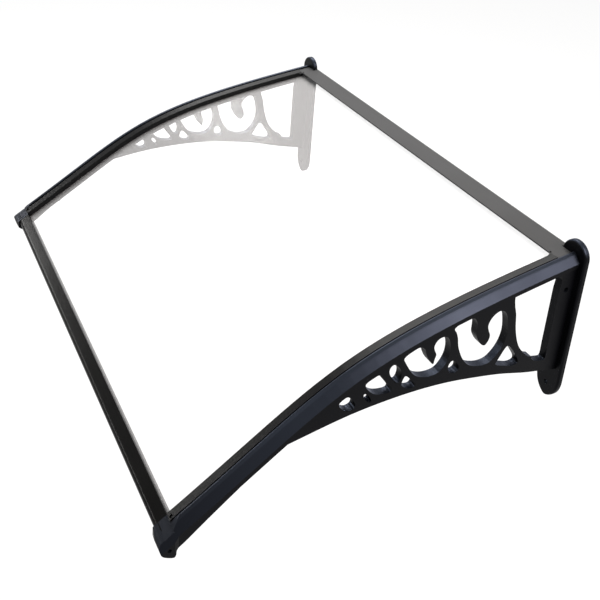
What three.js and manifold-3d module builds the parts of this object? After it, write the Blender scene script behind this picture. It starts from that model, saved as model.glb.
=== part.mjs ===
// Door canopy: a clear sheet bent over two moulded scroll brackets, a front bar and a rear bar.
// Millimetres, +Z up, the wall is the plane Y = 0 and the canopy reaches out towards -Y.
// The right bracket is on the +X side; the left one is its mirror image.
import * as THREE from 'three';
import { mergeVertices } from 'three/addons/utils/BufferGeometryUtils.js';
import Module from 'manifold-3d';

const wasm = await Module();
wasm.setup();

const bracketX = 386;          // mid-width to the centre of each wall plate
const clearance = 0.3;         // between pieces that meet
const datumHeight = 225;       // plate bottom to the part's origin

const plateHalfWidth = 22.3;
const plateHeight = 256;
const plateThickness = 8;
const plateEdgeRound = 3;
const wallHole = { radius: 3.5, z: 23 };

const webThickness = 12;       // the web stands from the plate's centre line outwards
const postFront = -34.3;
const postRecess = { y: -22, z: 190, radius: 4, depth: 2.5, pilot: 1.7, pilotDepth: 6 };

const archSteps = 34;
const gripOuter = -2;          // side wall of the seat that holds the sheet's edge
const gripInner = -17;         // free edge of the seat's ledge
const sheetTop = -8;           // below the arch's reference curve, along its normal
const sheetThickness = 3;
const gasketThickness = 1.7;
const sheetBottom = sheetTop - sheetThickness;
const gasketTop = sheetBottom - clearance;
const ledgeTop = gasketTop - gasketThickness - clearance;
const sheetEdge = gripOuter - 1;

const railOuter = 14;
const noseInner = -17;
const noseOuter = 16;
const barEnd = -4;             // the front bar's end lies in a socket of the nose up to here
const barRadius = 7.3;
const barCentre = { y: -571, z: 0 };
const barDepth = 13.7;         // bullnose centre to the rear face
const barSlope = THREE.MathUtils.degToRad(34);
const noseAxis = { y: -572.2, z: -4.9 };
const noseBore = 2.5;
const noseFloor = 2;           // where the bore steps down to the shank
const noseShank = 1.2;
const barHoleDepth = 16;

const rearDepth = 32;
const rearLip = 2.2;
const rearWall = 8;
const rearBottom = 214;
const rearLeg = { front: -24.5, back: -17.5 };
const rearFlange = { front: -15.5, thickness: 2.7 };
const rearFillet = 6;
const sheetRear = -10;         // the sheet's rear edge, inside the rear bar
const sheetFront = -568.5;     // the sheet's front edge, inside the front bar
const stripStart = 1.4;        // along the arch from its lower end
const cornerPin = { x: -20.7, y: -30.6, radius: 1.3, shank: 0.8, depth: 5 };
const endScrew = { x: -8, along: 4.8, radius: 1.9, shank: 1, depth: 6.5, recess: 2.5, seat: -1.7 };

const screwX = -9.5;
const screwRadius = 1.6;
const screwHead = { radius: 3.6, height: 2.2 };
const screwTip = -3.2;         // how far up a strip screw reaches
const stripScrews = [0.08, 0.33, 0.58, 0.83];
const rearScrewY = -21;
const headBottom = -21.4;      // underside of the screw heads, below the reference curve

// Reference curve of the arch: the top inner edge of each edge strip, seen from the side.
const archCurve = new THREE.CubicBezierCurve3(
  new THREE.Vector3(0, -566, 15.6),
  new THREE.Vector3(0, -356, 153),
  new THREE.Vector3(0, -371.6, 180.3),
  new THREE.Vector3(0, 0, 237.8)
);

function toSolid(geometry) {
  const bare = geometry.index ? geometry.toNonIndexed() : geometry.clone();
  bare.deleteAttribute('normal');
  bare.deleteAttribute('uv');
  const merged = mergeVertices(bare, 1e-4);
  return new wasm.Manifold(new wasm.Mesh({
    numProp: 3,
    vertProperties: new Float32Array(merged.attributes.position.array),
    triVerts: new Uint32Array(merged.index.array)
  }));
}

function toGeometry(solid) {
  const mesh = solid.getMesh();
  const geometry = new THREE.BufferGeometry();
  geometry.setAttribute('position', new THREE.BufferAttribute(mesh.vertProperties, 3));
  geometry.setIndex(new THREE.BufferAttribute(mesh.triVerts, 1));
  geometry.computeVertexNormals();
  return geometry;
}

// Side outline in (y, z), pushed out along X from x0 to x1.
function slab(shape, x0, x1, curveSegments = 8) {
  const geometry = new THREE.ExtrudeGeometry(shape, { depth: x1 - x0, bevelEnabled: false, curveSegments });
  geometry.applyMatrix4(new THREE.Matrix4().makeBasis(
    new THREE.Vector3(0, 1, 0), new THREE.Vector3(0, 0, 1), new THREE.Vector3(1, 0, 0)
  ));
  geometry.translate(x0, 0, 0);
  return toSolid(geometry);
}

// Section in (x, height above the curve), swept along the arch.
function sweep(section, steps = archSteps) {
  const shape = new THREE.Shape(section.map(([x, n]) => new THREE.Vector2(-x, n)));
  return toSolid(new THREE.ExtrudeGeometry(shape, { steps, bevelEnabled: false, extrudePath: archCurve }));
}

// Plate between two heights above the curve, from side to side.
function across(half, low, high) {
  return sweep([[-half, low], [half, low], [half, high], [-half, high]]);
}

// The same kind of section carried straight on past the arch's lower end.
function straightOn(section, ahead, back) {
  const start = archCurve.getPoint(0);
  const tangent = archCurve.getTangent(0);
  const path = new THREE.LineCurve3(
    start.clone().addScaledVector(tangent, -ahead), start.clone().addScaledVector(tangent, back)
  );
  const shape = new THREE.Shape(section.map(([x, n]) => new THREE.Vector2(-x, n)));
  return toSolid(new THREE.ExtrudeGeometry(shape, { steps: 1, bevelEnabled: false, extrudePath: path }));
}

function block(x0, x1, y0, y1, z0, z1) {
  const geometry = new THREE.BoxGeometry(x1 - x0, y1 - y0, z1 - z0);
  geometry.translate((x0 + x1) / 2, (y0 + y1) / 2, (z0 + z1) / 2);
  return toSolid(geometry);
}

function rodAlongX(radius, x0, x1, y, z, sides = 20) {
  const geometry = new THREE.CylinderGeometry(radius, radius, x1 - x0, sides);
  geometry.rotateZ(Math.PI / 2);
  geometry.translate((x0 + x1) / 2, y, z);
  return toSolid(geometry);
}

// Point on the arch's side view at height n above the reference curve, with the local slope.
function archPoint(t, n) {
  const point = archCurve.getPoint(t);
  const tangent = archCurve.getTangent(t);
  return {
    y: point.y - n * tangent.z,
    z: point.z + n * tangent.y,
    slope: Math.atan2(tangent.z, tangent.y)
  };
}

function archAtDepth(y) {
  let low = 0;
  let high = 1;
  for (let i = 0; i < 30; i++) {
    const middle = (low + high) / 2;
    if (archCurve.getPoint(middle).y < y) low = middle;
    else high = middle;
  }
  return low;
}

// Everything further up the arch than this distance from its lower end.
function upwardFrom(distance) {
  const start = archPoint(0, 0);
  return block(-500, 500, distance, 700, -300, 300)
    .rotate([THREE.MathUtils.radToDeg(start.slope), 0, 0])
    .translate([0, start.y, start.z]);
}

function closedCurve(points, perPoint = 3) {
  const curve = new THREE.CatmullRomCurve3(
    points.map(([y, z]) => new THREE.Vector3(y, z, 0)), true, 'centripetal'
  );
  const outline = curve.getPoints(points.length * perPoint).slice(0, -1);
  return new THREE.Shape(outline.map((p) => new THREE.Vector2(p.x, p.y)));
}

// Openings of the scroll web, from the wall outwards, as points (y, z) on their edges.
const openings = [
  // large opening beside the post
  [[-112, 207], [-111.8, 192], [-106.5, 175], [-103, 155], [-98.5, 138], [-91, 120], [-82, 108], [-68, 95],
    [-63.5, 93.2], [-60.6, 91.5], [-61, 89], [-54, 83], [-46, 80.5], [postFront - 1.5, 79], [postFront, 82],
    [postFront, 100], [postFront, 130], [postFront, 160], [postFront, 190], [postFront, 214], [-75, 212]],
  // spandrel between the first two struts
  [[-127, 101], [-122, 110], [-115, 122], [-110.5, 125.5], [-103, 119], [-95, 108], [-87, 95.5], [-86.5, 90.5],
    [-95, 88.2], [-110, 93]],
  // first scroll
  [[-207.5, 181], [-204, 175], [-200, 165], [-197.5, 153], [-193, 141], [-186, 128], [-175, 115.5],
    [-163, 109.8], [-150, 107], [-138, 108.5], [-127, 117.5], [-119, 131], [-116, 147], [-118, 163],
    [-122, 177], [-128, 185], [-136, 187.5], [-144, 184], [-150, 177], [-152, 169], [-149.5, 161],
    [-146.3, 153.5], [-147, 146.5], [-152, 139.5], [-157.5, 141.5], [-164.5, 150], [-169.5, 160],
    [-170, 170], [-171.5, 180], [-178, 188.5], [-192, 188]],
  // spandrel between the scrolls
  [[-208.5, 120], [-207.5, 127], [-203.5, 131], [-198, 128], [-191, 119], [-191, 113], [-196, 110], [-204, 113]],
  // second scroll
  [[-280, 159], [-277, 151.5], [-272, 143], [-265.5, 133], [-258, 125.5], [-247, 120.3], [-235, 118.2],
    [-223, 120], [-215, 128], [-210.3, 138], [-209, 150], [-211.5, 162], [-216, 170.5], [-224, 173.8],
    [-232, 171], [-236, 163], [-234, 156], [-231, 149.5], [-232.5, 143], [-234, 136], [-241, 143.5],
    [-246.5, 154], [-250, 163], [-257, 168.5], [-268, 166]],
  // spandrel beside the third strut
  [[-279, 119], [-278, 126.5], [-275, 131], [-271, 128.5], [-264, 120.5], [-258.3, 112.5], [-261, 109.2],
    [-270, 110.5]],
  // leaf
  [[-300, 147], [-298.5, 152], [-294.5, 154.3], [-289, 151], [-283, 143], [-281, 135], [-282.8, 127],
    [-286, 124.5], [-291.5, 130], [-298, 140]],
  // half-moon
  [[-332.5, 137], [-329.5, 140.3], [-322, 143.5], [-315, 145.7], [-311, 142], [-302, 129], [-294, 117.5],
    [-296, 114.4], [-307, 115], [-318, 118.8], [-327, 127]],
  // small eye
  [[-334, 121.5], [-332.3, 124], [-328.5, 121.5], [-321.8, 111], [-323, 108.2], [-327, 110.5]],
  // last opening towards the nose
  [[-367.5, 120.5], [-364.5, 124.3], [-356.5, 127.7], [-351.5, 124], [-344.5, 112.5], [-346, 107.8],
    [-353, 105.8], [-361, 110.5]]
];

// Lower edge of the web, from the wall plate to where it runs into the arch.
const webLowerEdge = [
  [-4, 53], [-35, 60.5], [-69, 68], [-115, 81], [-158, 90], [-198, 97], [-236, 101], [-273, 102.5],
  [-308, 102], [-342, 100], [-375, 96], [-406, 91], [-436, 86]
];

function webSolid() {
  const rootOfWeb = -12;       // inside the arch, so the two grow together
  const shape = new THREE.Shape();
  shape.moveTo(webLowerEdge[0][0], webLowerEdge[0][1]);
  shape.splineThru(webLowerEdge.slice(1).map(([y, z]) => new THREE.Vector2(y, z)));
  const first = archAtDepth(-440);
  for (let i = 0; i <= archSteps; i++) {
    const p = archPoint(first + (0.995 - first) * i / archSteps, rootOfWeb);
    shape.lineTo(Math.min(p.y, -4), p.z);
  }
  let web = slab(shape, 0, webThickness, 3);
  for (const outline of openings) {
    web = web.subtract(slab(closedCurve(outline), -1, webThickness + 1));
  }
  const recess = rodAlongX(postRecess.radius, webThickness - postRecess.depth, webThickness + 1,
    postRecess.y, postRecess.z, 24);
  const pilot = rodAlongX(postRecess.pilot, webThickness - postRecess.pilotDepth, webThickness + 1,
    postRecess.y, postRecess.z, 12);
  return web.subtract(recess).subtract(pilot);
}

// Top of the rail from the groove outwards: a broad ridge, then a face that slopes to the outer side.
const ridge = [[gripOuter, 2.4], [-1, 3], [0.5, 3.3], [4.6, 2.3], [6, 1.2], [railOuter, -7.3]];

// Arch rail with the ledge that carries the sheet's edge.
function archSolid() {
  return sweep([
    [gripOuter, ledgeTop], ...ridge, [railOuter, -14], [12.5, -15.5], [0, -16.5], [-15.5, -18.5],
    [gripInner, -17.2], [gripInner, ledgeTop]
  ]);
}

// Round at the top, a slightly pointed lobe at the bottom.
function wallPlateSolid() {
  const radius = plateHalfWidth - plateEdgeRound;
  const tip = plateEdgeRound;
  const shape = new THREE.Shape();
  shape.moveTo(-radius, 34);
  shape.quadraticCurveTo(-radius + 0.8, 12, -2, tip + 0.7);
  shape.quadraticCurveTo(0, tip - 0.3, 2, tip + 0.7);
  shape.quadraticCurveTo(radius - 0.8, 12, radius, 34);
  shape.absarc(0, plateHeight - plateHalfWidth, radius, 0, Math.PI);
  const geometry = new THREE.ExtrudeGeometry(shape, {
    depth: plateThickness, bevelThickness: plateEdgeRound, bevelSize: plateEdgeRound, bevelSegments: 3,
    curveSegments: 14
  });
  geometry.rotateX(Math.PI / 2);
  geometry.translate(0, plateEdgeRound, 0);
  const reach = plateHalfWidth + 1;
  const hole = new THREE.CylinderGeometry(wallHole.radius, wallHole.radius, 3 * plateThickness, 24);
  hole.translate(0, 0, wallHole.z);
  return toSolid(geometry)
    .subtract(block(-reach, reach, 0, 2 * plateThickness, -reach, plateHeight + reach))
    .subtract(toSolid(hole));
}

// Where the ridge runs down to the level of the nose, as distances along the arch's lower end and above it.
function ridgeEndCut() {
  const line = [[15, 3.4], [9, 2.6], [4, 0.9], [0, -1], [-4, -2.4], [-8, -3], [-20, -3]];
  const room = [[-20, 12], [15, 12]];
  const shape = new THREE.Shape([...line, ...room].map(([along, n]) => endPoint(along, n)));
  return slab(shape, gripOuter, noseOuter + 1);
}

function endPoint(along, n) {
  const { y, z, slope } = archPoint(0, n);
  return new THREE.Vector2(y + along * Math.cos(slope), z + along * Math.sin(slope));
}

// Block at the rail's lower end with a rounded front, and a heel that fades into the rail's underside.
function noseSolid() {
  const side = closedCurve([
    [-556, 18.9], [-562.5, 14.9], [-575.1, 6.4], [-580.3, 3], [-583, -1.5], [-582.3, -5.8], [-579.8, -10],
    [-572.5, -15.1], [-566.5, -17.2], [-564.3, -15], [-563.6, -9], [-561, -6.8], [-554, -1.8], [-546.2, 4.6],
    [-526.6, 20.7], [-504.2, 38.5], [-488, 51.5], [-484, 56], [-500, 44.5], [-540, 18.5]
  ], 3);
  const plan = new THREE.Shape([
    [noseInner, -480], [noseInner, -580.7], [-8, -582.2], [0, -583.5], [14, -584], [noseOuter, -582.5],
    [noseOuter, -566], [railOuter, -561], [railOuter, -480]
  ].map(([x, y]) => new THREE.Vector2(x, y)));
  const planBlock = new THREE.ExtrudeGeometry(plan, { depth: 120, bevelEnabled: false });
  planBlock.translate(0, 0, -50);
  const envelope = straightOn([
    [gripInner, -0.5], ...ridge, [noseOuter, -9.4], [noseOuter, -60], [noseInner, -60]
  ], 40, 120);
  return slab(side, noseInner, noseOuter).intersect(toSolid(planBlock)).intersect(envelope);
}

function barSection(grow) {
  const radius = barRadius + grow;
  const shape = new THREE.Shape();
  shape.absarc(0, 0, radius, Math.PI / 2, 3 * Math.PI / 2);
  shape.lineTo(barDepth + grow, -radius);
  shape.lineTo(barDepth + grow, radius - 0.7);
  shape.lineTo(barDepth + grow - 0.7, radius);
  return shape;
}

function barLength(grow, x0, x1) {
  return slab(barSection(grow), x0, x1, 12)
    .rotate([THREE.MathUtils.radToDeg(barSlope), 0, 0])
    .translate([0, barCentre.y, barCentre.z]);
}

function bracket() {
  const sheetRoom = sweep([
    [gripInner - 1, sheetBottom - clearance], [sheetEdge + 0.7, sheetBottom - clearance],
    [sheetEdge + 0.7, sheetTop + clearance], [gripInner - 1, sheetTop + clearance]
  ]);
  const behind = block(-60, 60, 0, 40, -40, 300);
  const bore = rodAlongX(noseBore, noseFloor, noseOuter + 1, noseAxis.y, noseAxis.z);
  const shank = rodAlongX(noseShank + clearance, barEnd - 1, noseOuter, noseAxis.y, noseAxis.z);
  const inFront = block(-60, 60, -700, -plateThickness, -40, 300);
  const ledge = sweep([
    [gripInner - 1, ledgeTop], [gripOuter, ledgeTop], [gripOuter, 12], [gripInner - 1, 12]
  ]).intersect(upwardFrom(stripStart - clearance)).intersect(inFront);
  let solid = archSolid().subtract(ridgeEndCut()).add(webSolid()).add(noseSolid()).subtract(ledge)
    .add(wallPlateSolid());
  solid = solid.subtract(sheetRoom.intersect(inFront)).subtract(barLength(clearance, -60, barEnd));
  solid = solid.subtract(behind).subtract(bore).subtract(shank);
  for (const place of screwPlaces()) {
    solid = solid.subtract(screwRoom(place));
  }
  return solid;
}

// Strip over the sheet's edge, with a shallow groove along the arch's ridge.
function edgeStrip() {
  let solid = sweep([
    [gripInner, sheetTop + clearance], [gripOuter - clearance, sheetTop + clearance],
    [gripOuter - clearance, -0.6], [-4, -0.4], [-4.3, 1.5], [gripInner + 1, 0.3], [gripInner, -0.5]
  ]).intersect(upwardFrom(stripStart)).intersect(block(-60, 60, -700, -rearDepth - clearance, -40, 300));
  for (const place of screwPlaces()) {
    solid = solid.subtract(screwRoom(place));
  }
  const hole = fromAbove(endScrew.shank + clearance, -endScrew.depth - clearance, endScrew.x, endScrewPlace());
  return solid.subtract(fromAbove(endScrew.recess, endScrew.seat, endScrew.x, endScrewPlace())).subtract(hole);
}

function gasket() {
  let solid = sweep([
    [gripInner + 0.5, gasketTop], [gripInner + 0.5, gasketTop - gasketThickness],
    [sheetEdge, gasketTop - gasketThickness], [sheetEdge, gasketTop]
  ]).intersect(upwardFrom(stripStart)).intersect(block(-60, 60, -700, -plateThickness - 0.6, -40, 300));
  for (const place of screwPlaces()) {
    solid = solid.subtract(screwRoom(place));
  }
  return solid;
}

// Screws stand square to the arch: four under each strip and one under the rear bar.
function screwPlaces() {
  const places = stripScrews.map((t) => archPoint(t, 0));
  places.push(archPoint(archAtDepth(rearScrewY), 0));
  return places;
}

// Turned shape with its axis square to the arch, heights measured from the reference curve.
function standing(points, place, x = screwX) {
  const geometry = new THREE.LatheGeometry(points.map(([r, n]) => new THREE.Vector2(r, n)), 16);
  geometry.rotateX(Math.PI / 2);
  geometry.rotateX(place.slope);
  geometry.translate(x, place.y, place.z);
  return toSolid(geometry);
}

function fromAbove(radius, bottom, x, place) {
  const top = 5;
  return standing([[0, bottom], [radius, bottom], [radius, top], [0, top]], place, x);
}

function endScrewPlace() {
  const start = archPoint(0, 0);
  return archPoint(archAtDepth(start.y + endScrew.along * Math.cos(start.slope)), 0);
}

// Short screw in the strip's lower end, its head sunk in a round recess.
function stripEndScrew() {
  const headTop = -0.2;
  const headFloor = endScrew.seat + clearance;
  return standing([
    [0, -endScrew.depth], [endScrew.shank, -endScrew.depth], [endScrew.shank, headFloor], [endScrew.radius, headFloor],
    [endScrew.radius, headTop - 0.5], [endScrew.radius - 0.7, headTop], [0, headTop]
  ], endScrewPlace(), endScrew.x);
}

// Round-headed pin in the rear bar's lip, at the corner of the sheet.
function rearCornerPin() {
  const place = archPoint(archAtDepth(cornerPin.y), 0);
  return standing([
    [0, -cornerPin.depth], [cornerPin.shank, -cornerPin.depth], [cornerPin.shank, clearance],
    [cornerPin.radius, clearance], [cornerPin.radius - 0.3, 0.9], [0, 1.2]
  ], place, cornerPin.x);
}

function ledgeScrew(place) {
  const headTop = headBottom + screwHead.height;
  return standing([
    [0, headBottom], [screwHead.radius - 0.8, headBottom], [screwHead.radius, headBottom + 0.9],
    [screwHead.radius, headTop], [screwRadius, headTop], [screwRadius, screwTip], [0, screwTip]
  ], place);
}

function screwRoom(place) {
  const radius = screwRadius + clearance;
  const seat = screwHead.radius + clearance;
  const floor = headBottom + screwHead.height + clearance;
  return standing([
    [0, headBottom - 6], [seat, headBottom - 6], [seat, floor], [radius, floor],
    [radius, screwTip + clearance], [0, screwTip + clearance]
  ], place);
}

function noseScrew() {
  const headFrom = noseFloor + clearance;
  const points = [
    [0, barEnd - barHoleDepth + 2], [noseShank, barEnd - barHoleDepth + 2], [noseShank, headFrom],
    [noseBore - clearance, headFrom], [noseBore - clearance, headFrom + 2], [0, headFrom + 2]
  ];
  const geometry = new THREE.LatheGeometry(points.map(([r, x]) => new THREE.Vector2(r, x)), 16);
  geometry.rotateZ(-Math.PI / 2);
  geometry.translate(0, noseAxis.y, noseAxis.z);
  return toSolid(geometry);
}

// Sheet edge to edge, clear of the seats' side walls.
function roofSheet() {
  let solid = across(bracketX + sheetEdge, sheetBottom, sheetTop)
    .intersect(block(-bracketX, bracketX, sheetFront, sheetRear, -40, 300));
  for (const place of screwPlaces()) {
    const room = screwRoom(place).translate([bracketX, 0, 0]);
    solid = solid.subtract(room).subtract(room.mirror([1, 0, 0]));
  }
  return solid;
}

function frontBar() {
  const half = bracketX + barEnd - clearance;
  const slot = across(half + 5, sheetBottom - clearance, sheetTop + clearance)
    .intersect(block(-500, 500, sheetFront - clearance, 0, -40, 300));
  let solid = barLength(0, -half, half).subtract(slot);
  for (const side of [-1, 1]) {
    const ends = [side * (half + 5), side * (half - barHoleDepth)].sort((a, b) => a - b);
    solid = solid.subtract(rodAlongX(noseShank + clearance, ends[0], ends[1], noseAxis.y, noseAxis.z, 16));
  }
  return solid;
}

// Bar along the wall: a flat lip over the sheet, a back wall, a leg that rests on the sheet and a flange below.
function rearBar() {
  const half = bracketX + gripOuter - clearance;
  const ledgeEdge = bracketX + gripInner - clearance;
  const plateEdge = bracketX - plateHalfWidth - clearance;
  const lipPlan = new THREE.Shape();
  const corner = -rearDepth - rearFillet;
  lipPlan.moveTo(half, -rearDepth);
  lipPlan.lineTo(half, 0);
  lipPlan.lineTo(-half, 0);
  lipPlan.lineTo(-half, -rearDepth);
  lipPlan.lineTo(-ledgeEdge, -rearDepth);
  lipPlan.lineTo(-ledgeEdge, corner);
  lipPlan.quadraticCurveTo(-ledgeEdge + 0.4, -rearDepth, -ledgeEdge + rearFillet, -rearDepth);
  lipPlan.lineTo(ledgeEdge - rearFillet, -rearDepth);
  lipPlan.quadraticCurveTo(ledgeEdge - 0.4, -rearDepth, ledgeEdge, corner);
  lipPlan.lineTo(ledgeEdge, -rearDepth);
  const lipBlock = new THREE.ExtrudeGeometry(lipPlan, { depth: 200, bevelEnabled: false, curveSegments: 6 });
  lipBlock.translate(0, 0, 100);
  const wallTop = archPoint(archAtDepth(-rearWall), -rearLip / 2).z;
  const lip = across(half, -rearLip, 0).intersect(toSolid(lipBlock));
  const leg = across(half, sheetTop + clearance, -rearLip / 2)
    .intersect(block(-500, 500, rearLeg.front, rearLeg.back, 0, 300));
  const flangeTop = sheetBottom - clearance;
  const flange = across(ledgeEdge, flangeTop - rearFlange.thickness, flangeTop)
    .intersect(block(-500, 500, rearFlange.front, -rearWall / 2, 0, 300));
  const wall = block(-plateEdge, plateEdge, -rearWall, 0, rearBottom, wallTop);
  let solid = lip.add(leg).add(flange).add(wall);
  for (const side of [-1, 1]) {
    const behind = block(plateEdge, 500, -plateThickness - clearance, 10, 150, 300);
    const screw = screwRoom(screwPlaces()[stripScrews.length]).translate([bracketX, 0, 0]);
    const pinPlace = archPoint(archAtDepth(cornerPin.y), 0);
    const pin = fromAbove(cornerPin.shank + clearance, -7, cornerPin.x, pinPlace).translate([bracketX, 0, 0]);
    for (const cut of [behind, screw, pin]) {
      solid = solid.subtract(side > 0 ? cut : cut.mirror([1, 0, 0]));
    }
  }
  return solid.subtract(across(half + 5, sheetBottom - clearance, sheetTop + clearance)
    .intersect(block(-500, 500, -60, sheetRear + clearance, 0, 300)));
}

const canopy = new THREE.Group();
canopy.name = 'door_canopy';
const assembly = new THREE.Group();
assembly.position.z = -datumHeight;
canopy.add(assembly);

const blackPlastic = { color: 0x17181b, roughness: 0.45, metalness: 0 };
const greyBar = { color: 0x4f5052, roughness: 0.4, metalness: 0 };
const clearSheet = { color: 0xf2f5f6, roughness: 0.05, metalness: 0, transparent: true, opacity: 0.5 };
const softRubber = { color: 0x202021, roughness: 0.9, metalness: 0 };
const screwSteel = { color: 0x8d9094, roughness: 0.35, metalness: 1 };

function addPiece(name, solid, look) {
  const mesh = new THREE.Mesh(toGeometry(solid), new THREE.MeshStandardMaterial(look));
  mesh.name = name;
  assembly.add(mesh);
}

function addPair(name, solid, look) {
  const right = solid.translate([bracketX, 0, 0]);
  addPiece(`right_${name}`, right, look);
  addPiece(`left_${name}`, right.mirror([1, 0, 0]), look);
}

addPair('bracket', bracket(), blackPlastic);
addPiece('roof_sheet', roofSheet(), clearSheet);
addPiece('front_bar', frontBar(), blackPlastic);
addPiece('rear_bar', rearBar(), greyBar);
addPair('edge_strip', edgeStrip(), blackPlastic);
addPair('gasket', gasket(), softRubber);
addPair('nose_screw', noseScrew(), screwSteel);
addPair('strip_end_screw', stripEndScrew(), blackPlastic);
addPair('rear_corner_pin', rearCornerPin(), blackPlastic);
screwPlaces().forEach((place, i) => {
  const name = i < stripScrews.length ? `strip_screw_${i + 1}` : 'rear_bar_screw';
  addPair(name, ledgeScrew(place), screwSteel);
});

export default canopy;
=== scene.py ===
import math
import bpy
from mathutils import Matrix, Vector

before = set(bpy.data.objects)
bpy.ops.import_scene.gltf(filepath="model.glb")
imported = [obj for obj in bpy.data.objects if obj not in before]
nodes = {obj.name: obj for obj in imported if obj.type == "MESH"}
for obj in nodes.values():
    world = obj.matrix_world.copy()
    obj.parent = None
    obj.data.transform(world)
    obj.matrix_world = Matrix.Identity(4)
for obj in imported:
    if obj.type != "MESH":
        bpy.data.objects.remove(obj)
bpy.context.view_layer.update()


def deselectAll():
    if bpy.context.object and bpy.context.object.mode != "OBJECT":
        bpy.ops.object.mode_set(mode="OBJECT")
    bpy.ops.object.select_all(action="DESELECT")


def newMaterial(name):
    material = bpy.data.materials.new(name)
    material.use_nodes = True
    tree = material.node_tree
    tree.nodes.clear()
    output = tree.nodes.new("ShaderNodeOutputMaterial")
    shader = tree.nodes.new("ShaderNodeBsdfPrincipled")
    tree.links.new(shader.outputs["BSDF"], output.inputs["Surface"])
    return material, tree, shader


def addNode(tree, kind, **settings):
    node = tree.nodes.new(kind)
    for key, value in settings.items():
        setattr(node, key, value)
    return node


def setInputs(node, **values):
    for key, value in values.items():
        node.inputs[key.replace("_", " ")].default_value = value


grainNoise = {"Detail": 3.0, "Roughness": 0.6}
patchNoise = {"Detail": 4.0}


# Fine grain of moulded or painted surfaces: a height for bump and a slow patchy mask.
def makeGrainGroup():
    group = bpy.data.node_groups.new("fineGrain", "ShaderNodeTree")
    face = group.interface
    for name in ("Grain Scale", "Patch Scale"):
        face.new_socket(name, in_out="INPUT", socket_type="NodeSocketFloat")
    for name in ("Height", "Patches"):
        face.new_socket(name, in_out="OUTPUT", socket_type="NodeSocketFloat")
    start = group.nodes.new("NodeGroupInput")
    end = group.nodes.new("NodeGroupOutput")
    coords = group.nodes.new("ShaderNodeTexCoord")
    grain = addNode(group, "ShaderNodeTexNoise", noise_dimensions="3D")
    setInputs(grain, **grainNoise)
    patches = addNode(group, "ShaderNodeTexNoise", noise_dimensions="3D")
    setInputs(patches, **patchNoise)
    link = group.links.new
    link(coords.outputs["Object"], grain.inputs["Vector"])
    link(coords.outputs["Object"], patches.inputs["Vector"])
    link(start.outputs["Grain Scale"], grain.inputs["Scale"])
    link(start.outputs["Patch Scale"], patches.inputs["Scale"])
    link(grain.outputs["Fac"], end.inputs["Height"])
    link(patches.outputs["Fac"], end.inputs["Patches"])
    return group


grainGroup = makeGrainGroup()


paintedSheenStops = (                             # how far a face looks up, share of painted sheen
    (0.3, 0.0), (0.55, 1.0), (0.78, 1.0), (0.96, 0.75),
)
paintedSheenReach = {                             # from the nose to where the painted sheen is full, along Y
    "From_Min": -0.57, "From_Max": -0.42,
    "To_Min": 0.35, "To_Max": 1.0,
}


# Painted bluish sheen, a painted reflection, on the faces that look up: full on the rails' slopes,
# weaker on level faces and towards the nose. It sets Metallic and Base Color.
def makePaintedSheenGroup():
    group = bpy.data.node_groups.new("paintedSlopeSheen", "ShaderNodeTree")
    face = group.interface
    face.new_socket("Strength", in_out="INPUT", socket_type="NodeSocketFloat")
    for name in ("Plain Color", "Painted Sheen Color"):
        face.new_socket(name, in_out="INPUT", socket_type="NodeSocketColor")
    face.new_socket("Weight", in_out="OUTPUT", socket_type="NodeSocketFloat")
    face.new_socket("Color", in_out="OUTPUT", socket_type="NodeSocketColor")
    start = group.nodes.new("NodeGroupInput")
    end = group.nodes.new("NodeGroupOutput")
    coords = group.nodes.new("ShaderNodeTexCoord")
    split = group.nodes.new("ShaderNodeSeparateXYZ")
    ramp = group.nodes.new("ShaderNodeValToRGB")
    scale = addNode(group, "ShaderNodeMath", operation="MULTIPLY")
    blend = addNode(group, "ShaderNodeMix", data_type="RGBA")
    place = group.nodes.new("ShaderNodeSeparateXYZ")
    reach = group.nodes.new("ShaderNodeMapRange")
    setInputs(reach, **paintedSheenReach)
    fade = addNode(group, "ShaderNodeMath", operation="MULTIPLY")
    while len(ramp.color_ramp.elements) < len(paintedSheenStops):
        ramp.color_ramp.elements.new(0.5)
    for element, (position, value) in zip(ramp.color_ramp.elements, paintedSheenStops):
        element.position = position
        element.color = (value, value, value, 1)
    link = group.links.new
    link(coords.outputs["Normal"], split.inputs["Vector"])
    link(split.outputs["Z"], ramp.inputs["Fac"])
    link(ramp.outputs["Color"], scale.inputs[0])
    link(start.outputs["Strength"], scale.inputs[1])
    link(coords.outputs["Object"], place.inputs["Vector"])
    link(place.outputs["Y"], reach.inputs["Value"])
    link(scale.outputs["Value"], fade.inputs[0])
    link(reach.outputs["Result"], fade.inputs[1])
    link(fade.outputs["Value"], end.inputs["Weight"])
    link(fade.outputs["Value"], blend.inputs["Factor"])
    link(start.outputs["Plain Color"], blend.inputs["A"])
    link(start.outputs["Painted Sheen Color"], blend.inputs["B"])
    link(blend.outputs["Result"], end.inputs["Color"])
    return group


paintedSheenGroup = makePaintedSheenGroup()


patchRange = (0.3, 0.7)                    # where most of the patch noise lies
bumpDistance = 0.0004                      # metres


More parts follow.
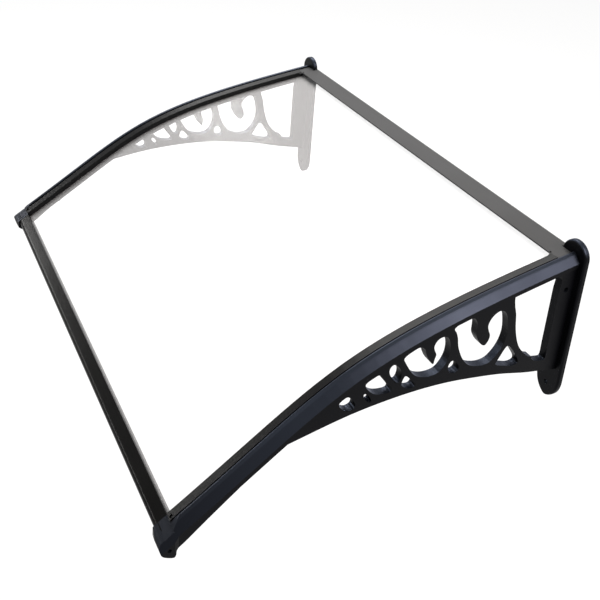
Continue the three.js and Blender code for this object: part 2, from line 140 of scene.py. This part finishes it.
# Opaque finish: two close colours and a roughness range in slow patches, with a fine grain.
def grainedMaterial(name, look):
    material, tree, shader = newMaterial(name)
    grain = addNode(tree, "ShaderNodeGroup", node_tree=grainGroup)
    setInputs(grain, Grain_Scale=look["grainScale"], Patch_Scale=look["patchScale"])
    tint = addNode(tree, "ShaderNodeMix", data_type="RGBA")
    tint.inputs["A"].default_value = (*look["dark"], 1)
    tint.inputs["B"].default_value = (*look["light"], 1)
    gloss = addNode(tree, "ShaderNodeMapRange")
    setInputs(gloss, From_Min=patchRange[0], From_Max=patchRange[1])
    setInputs(gloss, To_Min=look["roughness"][0], To_Max=look["roughness"][1])
    bump = addNode(tree, "ShaderNodeBump")
    setInputs(bump, Strength=look["bump"], Distance=bumpDistance)
    link = tree.links.new
    link(grain.outputs["Patches"], tint.inputs["Factor"])
    # A look with a painted sheen gets a painted reflection on the faces that look up.
    if "paintedSheen" in look:
        paintedSheen = addNode(tree, "ShaderNodeGroup", node_tree=paintedSheenGroup)
        paintedSheen.inputs["Strength"].default_value = look["paintedSheen"]
        paintedSheen.inputs["Painted Sheen Color"].default_value = (*look["paintedSheenColor"], 1)
        link(tint.outputs["Result"], paintedSheen.inputs["Plain Color"])
        link(paintedSheen.outputs["Color"], shader.inputs["Base Color"])
        link(paintedSheen.outputs["Weight"], shader.inputs["Metallic"])
    else:
        link(tint.outputs["Result"], shader.inputs["Base Color"])
        shader.inputs["Metallic"].default_value = look.get("metallic", 0.0)
    link(grain.outputs["Patches"], gloss.inputs["Value"])
    link(gloss.outputs["Result"], shader.inputs["Roughness"])
    link(grain.outputs["Height"], bump.inputs["Height"])
    link(bump.outputs["Normal"], shader.inputs["Normal"])
    shader.inputs["Specular IOR Level"].default_value = look["specular"]
    if "specularTint" in look:
        shader.inputs["Specular Tint"].default_value = (*look["specularTint"], 1)
    return material


bracketLook = {
    "dark": (0.0007, 0.0008, 0.0011), "light": (0.0016, 0.0017, 0.0024),
    "roughness": (0.36, 0.46), "specular": 0.06, "specularTint": (0.86, 0.89, 1.0),
    # painted sheen: strength and colour of the painted bluish reflection
    "paintedSheen": 1.0, "paintedSheenColor": (0.0178, 0.021, 0.0285),
    "grainScale": 1100.0, "patchScale": 14.0, "bump": 0.12,
}
stripLook = {
    "dark": (0.0016, 0.0016, 0.0017), "light": (0.0032, 0.0032, 0.0034),
    "roughness": (0.34, 0.42), "specular": 0.08,
    "grainScale": 1100.0, "patchScale": 14.0, "bump": 0.1,
}
barLook = {
    "dark": (0.0022, 0.0021, 0.002), "light": (0.0045, 0.0043, 0.0041),
    "roughness": (0.18, 0.22), "specular": 0.03,
    "grainScale": 700.0, "patchScale": 8.0, "bump": 0.03,
}
wallBarLook = {
    "dark": (0.0235, 0.024, 0.025), "light": (0.0315, 0.0315, 0.0315),
    "roughness": (0.5, 0.6), "specular": 0.12,
    "grainScale": 700.0, "patchScale": 5.0, "bump": 0.05,
}
rubberLook = {
    "dark": (0.002, 0.002, 0.002), "light": (0.005, 0.005, 0.005),
    "roughness": (0.7, 0.85), "specular": 0.04,
    "grainScale": 500.0, "patchScale": 20.0, "bump": 0.3,
}
screwLook = {
    "dark": (0.3, 0.3, 0.31), "light": (0.45, 0.45, 0.46),
    "roughness": (0.3, 0.45), "specular": 0.5, "metallic": 1.0,
    "grainScale": 1500.0, "patchScale": 60.0, "bump": 0.1,
}
sheetLook = {
    "white": (0.975, 0.975, 0.975), "haze": (0.95, 0.95, 0.952), "alpha": 0.135,
    "roughness": (0.1, 0.2), "ior": 1.585, "specular": 0.2,
    "grainScale": 60.0, "patchScale": 3.0,
}


# Clear sheet: mostly see-through, with a pale veil that greys what lies under it.
def sheetMaterial():
    material, tree, shader = newMaterial("clearSheet")
    grain = addNode(tree, "ShaderNodeGroup", node_tree=grainGroup)
    setInputs(grain, Grain_Scale=sheetLook["grainScale"], Patch_Scale=sheetLook["patchScale"])
    tint = addNode(tree, "ShaderNodeMix", data_type="RGBA")
    tint.inputs["A"].default_value = (*sheetLook["white"], 1)
    tint.inputs["B"].default_value = (*sheetLook["haze"], 1)
    gloss = addNode(tree, "ShaderNodeMapRange")
    setInputs(gloss, To_Min=sheetLook["roughness"][0], To_Max=sheetLook["roughness"][1])
    link = tree.links.new
    link(grain.outputs["Patches"], tint.inputs["Factor"])
    link(tint.outputs["Result"], shader.inputs["Base Color"])
    link(grain.outputs["Patches"], gloss.inputs["Value"])
    link(gloss.outputs["Result"], shader.inputs["Roughness"])
    shader.inputs["Alpha"].default_value = sheetLook["alpha"]
    shader.inputs["IOR"].default_value = sheetLook["ior"]
    shader.inputs["Specular IOR Level"].default_value = sheetLook["specular"]
    return material


finishes = {
    "bracket": grainedMaterial("blackMouldedPlastic", bracketLook),
    "edge_strip": grainedMaterial("edgeStripPlastic", stripLook),
    "corner_pin": grainedMaterial("blackPin", rubberLook),
    "end_screw": grainedMaterial("blackScrewHead", stripLook),
    "front_bar": grainedMaterial("darkBarPaint", barLook),
    "rear_bar": grainedMaterial("greyBarPaint", wallBarLook),
    "gasket": grainedMaterial("gasketRubber", rubberLook),
    "screw": grainedMaterial("screwSteel", screwLook),
    "roof_sheet": sheetMaterial(),
}
# Each node takes the finish with the longest word found in its name.
for name, node in nodes.items():
    word = max((word for word in finishes if word in name), key=len)
    node.data.materials.clear()
    node.data.materials.append(finishes[word])
print("finishes set on", len(nodes), "nodes")


# 1 where the camera, a mirror image or a look through the sheet meets the surface, times amount.
def seenDirectly(tree, amount):
    path = tree.nodes.new("ShaderNodeLightPath")
    total = path.outputs["Is Camera Ray"]
    for name in ("Is Glossy Ray", "Is Transmission Ray"):
        add = addNode(tree, "ShaderNodeMath", operation="MAXIMUM")
        tree.links.new(total, add.inputs[0])
        tree.links.new(path.outputs[name], add.inputs[1])
        total = add.outputs[0]
    scale = addNode(tree, "ShaderNodeMath", operation="MULTIPLY")
    scale.inputs[1].default_value = amount
    tree.links.new(total, scale.inputs[0])
    return scale.outputs[0]


stage = {
    "floorHeight": -0.95,
    "floorSize": 14.0,
    "floorColor": (0.9, 0.9, 0.9),
    "floorWhite": 0.9,                     # share of plain white in what is seen of the floor
    "worldFill": 0.42,
}


# Floor far below the canopy: it shows white and keeps the soft shadow.
def makeFloor():
    deselectAll()
    bpy.ops.mesh.primitive_plane_add(size=stage["floorSize"], location=(0, 0, stage["floorHeight"]))
    floor = bpy.context.object
    floor.name = "floor"
    material = bpy.data.materials.new("paleFloor")
    material.use_nodes = True
    tree = material.node_tree
    tree.nodes.clear()
    output = tree.nodes.new("ShaderNodeOutputMaterial")
    mix = tree.nodes.new("ShaderNodeMixShader")
    lit = tree.nodes.new("ShaderNodeBsdfDiffuse")
    lit.inputs["Color"].default_value = (*stage["floorColor"], 1)
    white = tree.nodes.new("ShaderNodeEmission")
    tree.links.new(seenDirectly(tree, stage["floorWhite"]), mix.inputs["Fac"])
    tree.links.new(lit.outputs["BSDF"], mix.inputs[1])
    tree.links.new(white.outputs["Emission"], mix.inputs[2])
    tree.links.new(mix.outputs["Shader"], output.inputs["Surface"])
    floor.data.materials.append(material)


def makeWorld():
    world = bpy.data.worlds.new("softWhite")
    bpy.context.scene.world = world
    world.use_nodes = True
    tree = world.node_tree
    tree.nodes.clear()
    output = tree.nodes.new("ShaderNodeOutputWorld")
    mix = tree.nodes.new("ShaderNodeMixShader")
    fill = tree.nodes.new("ShaderNodeBackground")
    fill.inputs["Strength"].default_value = stage["worldFill"]
    white = tree.nodes.new("ShaderNodeBackground")
    for background in (fill, white):
        background.inputs["Color"].default_value = (1, 1, 1, 1)
    tree.links.new(seenDirectly(tree, 1.0), mix.inputs["Fac"])
    tree.links.new(fill.outputs["Background"], mix.inputs[1])
    tree.links.new(white.outputs["Background"], mix.inputs[2])
    tree.links.new(mix.outputs["Shader"], output.inputs["Surface"])


# Area lamps: size in metres, power in watts. The two strong ones behind the canopy
# give the rails their sheen near the wall.
lamps = {
    "behind": {
        "place": (0.0, 2.0, 2.9), "size": (5.2, 2.6),
        "power": 10.0, "tint": (0.95, 0.97, 1.0),
    },
    "behindLeft": {
        "place": (-2.1, 0.7, 2.9), "size": (2.8, 1.4),
        "power": 215.0, "tint": (1.0, 0.985, 0.97),
    },
    "behindRight": {
        "place": (3.0, 1.1, 2.7), "size": (1.8, 2.6),
        "power": 205.0, "tint": (1.0, 0.9, 0.87),
    },
    "leftLow": {
        "place": (-2.5, -2.5, 0.62), "size": (1.9, 0.25),
        "power": 50.0, "tint": (1.0, 0.99, 0.97),
    },
    "leftFar": {
        "place": (-3.4, 0.2, 1.7), "size": (0.8, 0.8),
        "power": 16.0, "tint": (1.0, 0.99, 0.97),
    },
    "front": {
        "place": (0.0, -2.9, 3.1), "size": (2.6, 2.0),
        "power": 18.0, "tint": (1.0, 0.99, 0.97),
    },
}
lampAim = (0, -0.28, 0)                    # near the middle of the canopy


def makeLamp(name, look):
    deselectAll()
    bpy.ops.object.light_add(type="AREA", location=look["place"])
    lamp = bpy.context.object
    lamp.name = name
    lamp.data.shape = "RECTANGLE"
    lamp.data.size, lamp.data.size_y = look["size"]
    lamp.data.energy = look["power"]
    lamp.data.color = look["tint"]
    aim = Vector(lampAim) - Vector(look["place"])
    lamp.rotation_euler = aim.to_track_quat("-Z", "Y").to_euler()


makeFloor()
makeWorld()
for name, look in lamps.items():
    makeLamp(name + "Lamp", look)
print("floor, world and lamps ready")

view = {
    "place": (1.07026, -0.8151, 0.59125),
    "turn": (67.476, -5.786, 58.543),      # degrees
    "lens": 51.742,
    "shift": (-0.12076, -0.298),           # the photo is cut out of a larger frame
    "sensor": 36.0,                        # millimetres
    "clipEnd": 60.0,
}

deselectAll()
turn = [math.radians(angle) for angle in view["turn"]]
bpy.ops.object.camera_add(location=view["place"], rotation=turn)
camera = bpy.context.object
camera.data.sensor_width = view["sensor"]
camera.data.lens = view["lens"]
camera.data.shift_x, camera.data.shift_y = view["shift"]
camera.data.clip_end = view["clipEnd"]
camera.data.dof.use_dof = False
bpy.context.scene.camera = camera
bpy.context.scene.view_settings.view_transform = "Standard"
print("camera placed")
